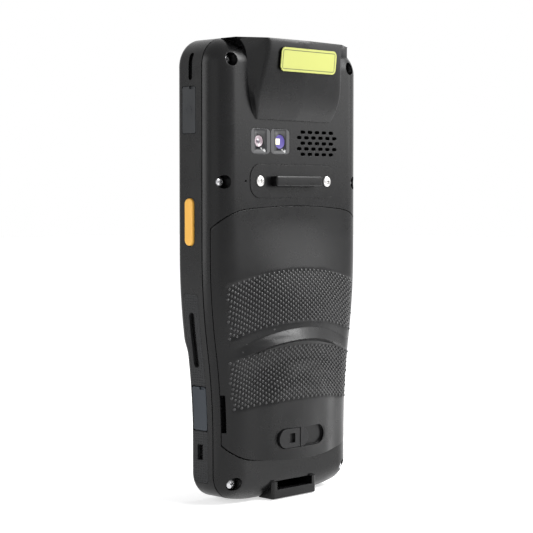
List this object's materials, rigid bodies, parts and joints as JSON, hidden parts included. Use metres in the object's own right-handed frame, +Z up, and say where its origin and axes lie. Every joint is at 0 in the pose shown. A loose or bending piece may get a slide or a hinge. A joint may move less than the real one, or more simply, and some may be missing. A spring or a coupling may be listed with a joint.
{
  "type": "portable barcode data terminal",
  "caption": "Hand-held barcode data terminal: rounded black case with a scan head, camera window, sculpted battery cover with a sliding latch, keypad, touch display and side keys",
  "frame": {"origin": "centre of the bounding box in X and Y, on the plane of the flat foot in Z", "axes": "+Z up the length to the scan end, +Y out of the back with the scan head and battery cover, -Y out of the display, +X the side with the orange scan key that the picture shows and the audio door"},
  "size_m": [0.0816, 0.0295, 0.172],
  "materials": {
    "shell": "satin black moulded plastic with a fine grain",
    "cover": "satin black plastic with raised dots on the grip",
    "latch": "satin dark grey plastic",
    "grip": "soft black rubber with a fine texture",
    "dark_window": "polished smoke-tinted plastic",
    "inner_plastic": "plain black plastic",
    "led": "clear LED with a yellow phosphor",
    "screw": "bright zinc plate",
    "dark_screw": "blackened steel",
    "pack": "dark grey plastic with a sunk face",
    "contact": "gilt spring pins in a block",
    "gasket": "soft grey silicone",
    "touch_glass": "dark chemically hardened glass",
    "board": "green solder mask with metal cans",
    "mesh": "dark woven wire mesh",
    "label": "plain pale yellow paper",
    "port_metal": "nickel plate",
    "door": "soft black rubber",
    "orange_key": "satin orange plastic",
    "key": "satin black plastic"
  },
  "bodies": {
    "body": {"audio_jack": "inner_plastic", "battery_contacts": "contact", "battery_gasket": "gasket", "camera_module": "inner_plastic", "camera_window": "dark_window", "case_screws": "dark_screw", "display_module": "inner_plastic", "earpiece_mesh": "mesh", "flash_led": "led", "flash_window": "dark_window", "front_shell": "shell", "keypad_mat": "gasket", "label_pad": "label", "main_board": "board", "rear_shell": "shell", "scan_engine": "inner_plastic", "scan_window": "dark_window", "side_grip_left": "grip", "side_grip_lower_right": "grip", "side_grip_upper_right": "grip", "speaker": "inner_plastic", "speaker_grille": "shell", "strap_bar": "shell", "strap_plate": "shell", "strap_screws": "screw", "touch_glass": "touch_glass", "usb_connector": "port_metal"},
    "cover": {"battery_cover": "cover"},
    "latch": {"latch_slider": "latch"},
    "pack": {"battery_pack": "pack"},
    "audio_door": {"audio_door": "door"},
    "port_door": {"port_door": "door"},
    "scan_key_right": {"scan_key_right": "orange_key"},
    "scan_key_left": {"scan_key_left": "orange_key"},
    "power_key": {"power_key": "key"},
    "volume_rocker": {"volume_rocker": "key"},
    "key_0": {"key_0": "key"},
    "key_1": {"key_1": "key"},
    "key_2": {"key_2": "key"},
    "key_3": {"key_3": "key"},
    "key_4": {"key_4": "key"},
    "key_5": {"key_5": "key"},
    "key_6": {"key_6": "key"},
    "key_7": {"key_7": "key"},
    "key_8": {"key_8": "key"},
    "key_9": {"key_9": "key"},
    "key_clear": {"key_clear": "key"},
    "key_down": {"key_down": "key"},
    "key_enter": {"key_enter": "key"},
    "key_hash": {"key_hash": "key"},
    "key_scan": {"key_scan": "orange_key"},
    "key_soft_left": {"key_soft_left": "key"},
    "key_soft_right": {"key_soft_right": "key"},
    "key_star": {"key_star": "key"},
    "key_up": {"key_up": "key"}
  },
  "joints": [
    {"name": "cover_hinge", "type": "hinge", "parent": "body", "child": "cover", "pos_m": [0, 0.0071, 0.1103], "axis": [1, 0, 0], "range_deg": [0, 70]},
    {"name": "pack_tilt", "type": "hinge", "parent": "body", "child": "pack", "pos_m": [0, 0.0071, 0.1103], "axis": [1, 0, 0], "range_deg": [0, 35]},
    {"name": "latch_slide", "type": "slide", "parent": "cover", "child": "latch", "axis": [-1, 0, 0], "range_m": [0, 0.0055]},
    {"name": "audio_door_hinge", "type": "hinge", "parent": "body", "child": "audio_door", "pos_m": [0.04, -0.0114, 0.14565], "axis": [0, 0, -1], "range_deg": [0, 100]},
    {"name": "port_door_hinge", "type": "hinge", "parent": "body", "child": "port_door", "pos_m": [0.03508, -0.01125, 0.0353], "axis": [-0.0539, 0, -0.9985], "range_deg": [0, 100]},
    {"name": "scan_key_right_press", "type": "slide", "parent": "body", "child": "scan_key_right", "axis": [-1, 0, 0], "range_m": [0, 0.0005], "stiffness_N_per_m": 1500},
    {"name": "scan_key_left_press", "type": "slide", "parent": "body", "child": "scan_key_left", "axis": [1, 0, 0], "range_m": [0, 0.0005], "stiffness_N_per_m": 1500},
    {"name": "power_key_press", "type": "slide", "parent": "body", "child": "power_key", "axis": [1, 0, 0], "range_m": [0, 0.0005], "stiffness_N_per_m": 1500},
    {"name": "volume_rock", "type": "hinge", "parent": "body", "child": "volume_rocker", "pos_m": [-0.0385, -0.0075, 0.147], "axis": [0, 1, 0], "range_deg": [-2.5, 2.5], "stiffness_Nm_per_rad": 0.05},
    {"name": "key_0_press", "type": "slide", "parent": "body", "child": "key_0", "axis": [0, 1, 0], "range_m": [0, 0.0006], "stiffness_N_per_m": 1500},
    {"name": "key_1_press", "type": "slide", "parent": "body", "child": "key_1", "axis": [0, 1, 0], "range_m": [0, 0.0006], "stiffness_N_per_m": 1500},
    {"name": "key_2_press", "type": "slide", "parent": "body", "child": "key_2", "axis": [0, 1, 0], "range_m": [0, 0.0006], "stiffness_N_per_m": 1500},
    {"name": "key_3_press", "type": "slide", "parent": "body", "child": "key_3", "axis": [0, 1, 0], "range_m": [0, 0.0006], "stiffness_N_per_m": 1500},
    {"name": "key_4_press", "type": "slide", "parent": "body", "child": "key_4", "axis": [0, 1, 0], "range_m": [0, 0.0006], "stiffness_N_per_m": 1500},
    {"name": "key_5_press", "type": "slide", "parent": "body", "child": "key_5", "axis": [0, 1, 0], "range_m": [0, 0.0006], "stiffness_N_per_m": 1500},
    {"name": "key_6_press", "type": "slide", "parent": "body", "child": "key_6", "axis": [0, 1, 0], "range_m": [0, 0.0006], "stiffness_N_per_m": 1500},
    {"name": "key_7_press", "type": "slide", "parent": "body", "child": "key_7", "axis": [0, 1, 0], "range_m": [0, 0.0006], "stiffness_N_per_m": 1500},
    {"name": "key_8_press", "type": "slide", "parent": "body", "child": "key_8", "axis": [0, 1, 0], "range_m": [0, 0.0006], "stiffness_N_per_m": 1500},
    {"name": "key_9_press", "type": "slide", "parent": "body", "child": "key_9", "axis": [0, 1, 0], "range_m": [0, 0.0006], "stiffness_N_per_m": 1500},
    {"name": "key_clear_press", "type": "slide", "parent": "body", "child": "key_clear", "axis": [0, 1, 0], "range_m": [0, 0.0006], "stiffness_N_per_m": 1500},
    {"name": "key_down_press", "type": "slide", "parent": "body", "child": "key_down", "axis": [0, 1, 0], "range_m": [0, 0.0006], "stiffness_N_per_m": 1500},
    {"name": "key_enter_press", "type": "slide", "parent": "body", "child": "key_enter", "axis": [0, 1, 0], "range_m": [0, 0.0006], "stiffness_N_per_m": 1500},
    {"name": "key_hash_press", "type": "slide", "parent": "body", "child": "key_hash", "axis": [0, 1, 0], "range_m": [0, 0.0006], "stiffness_N_per_m": 1500},
    {"name": "key_scan_press", "type": "slide", "parent": "body", "child": "key_scan", "axis": [0, 1, 0], "range_m": [0, 0.0006], "stiffness_N_per_m": 1500},
    {"name": "key_soft_left_press", "type": "slide", "parent": "body", "child": "key_soft_left", "axis": [0, 1, 0], "range_m": [0, 0.0006], "stiffness_N_per_m": 1500},
    {"name": "key_soft_right_press", "type": "slide", "parent": "body", "child": "key_soft_right", "axis": [0, 1, 0], "range_m": [0, 0.0006], "stiffness_N_per_m": 1500},
    {"name": "key_star_press", "type": "slide", "parent": "body", "child": "key_star", "axis": [0, 1, 0], "range_m": [0, 0.0006], "stiffness_N_per_m": 1500},
    {"name": "key_up_press", "type": "slide", "parent": "body", "child": "key_up", "axis": [0, 1, 0], "range_m": [0, 0.0006], "stiffness_N_per_m": 1500}
  ],
  "couplings": [
    {"joint": "pack_tilt", "follows": "cover_hinge", "ratio": 0.5}
  ]
}
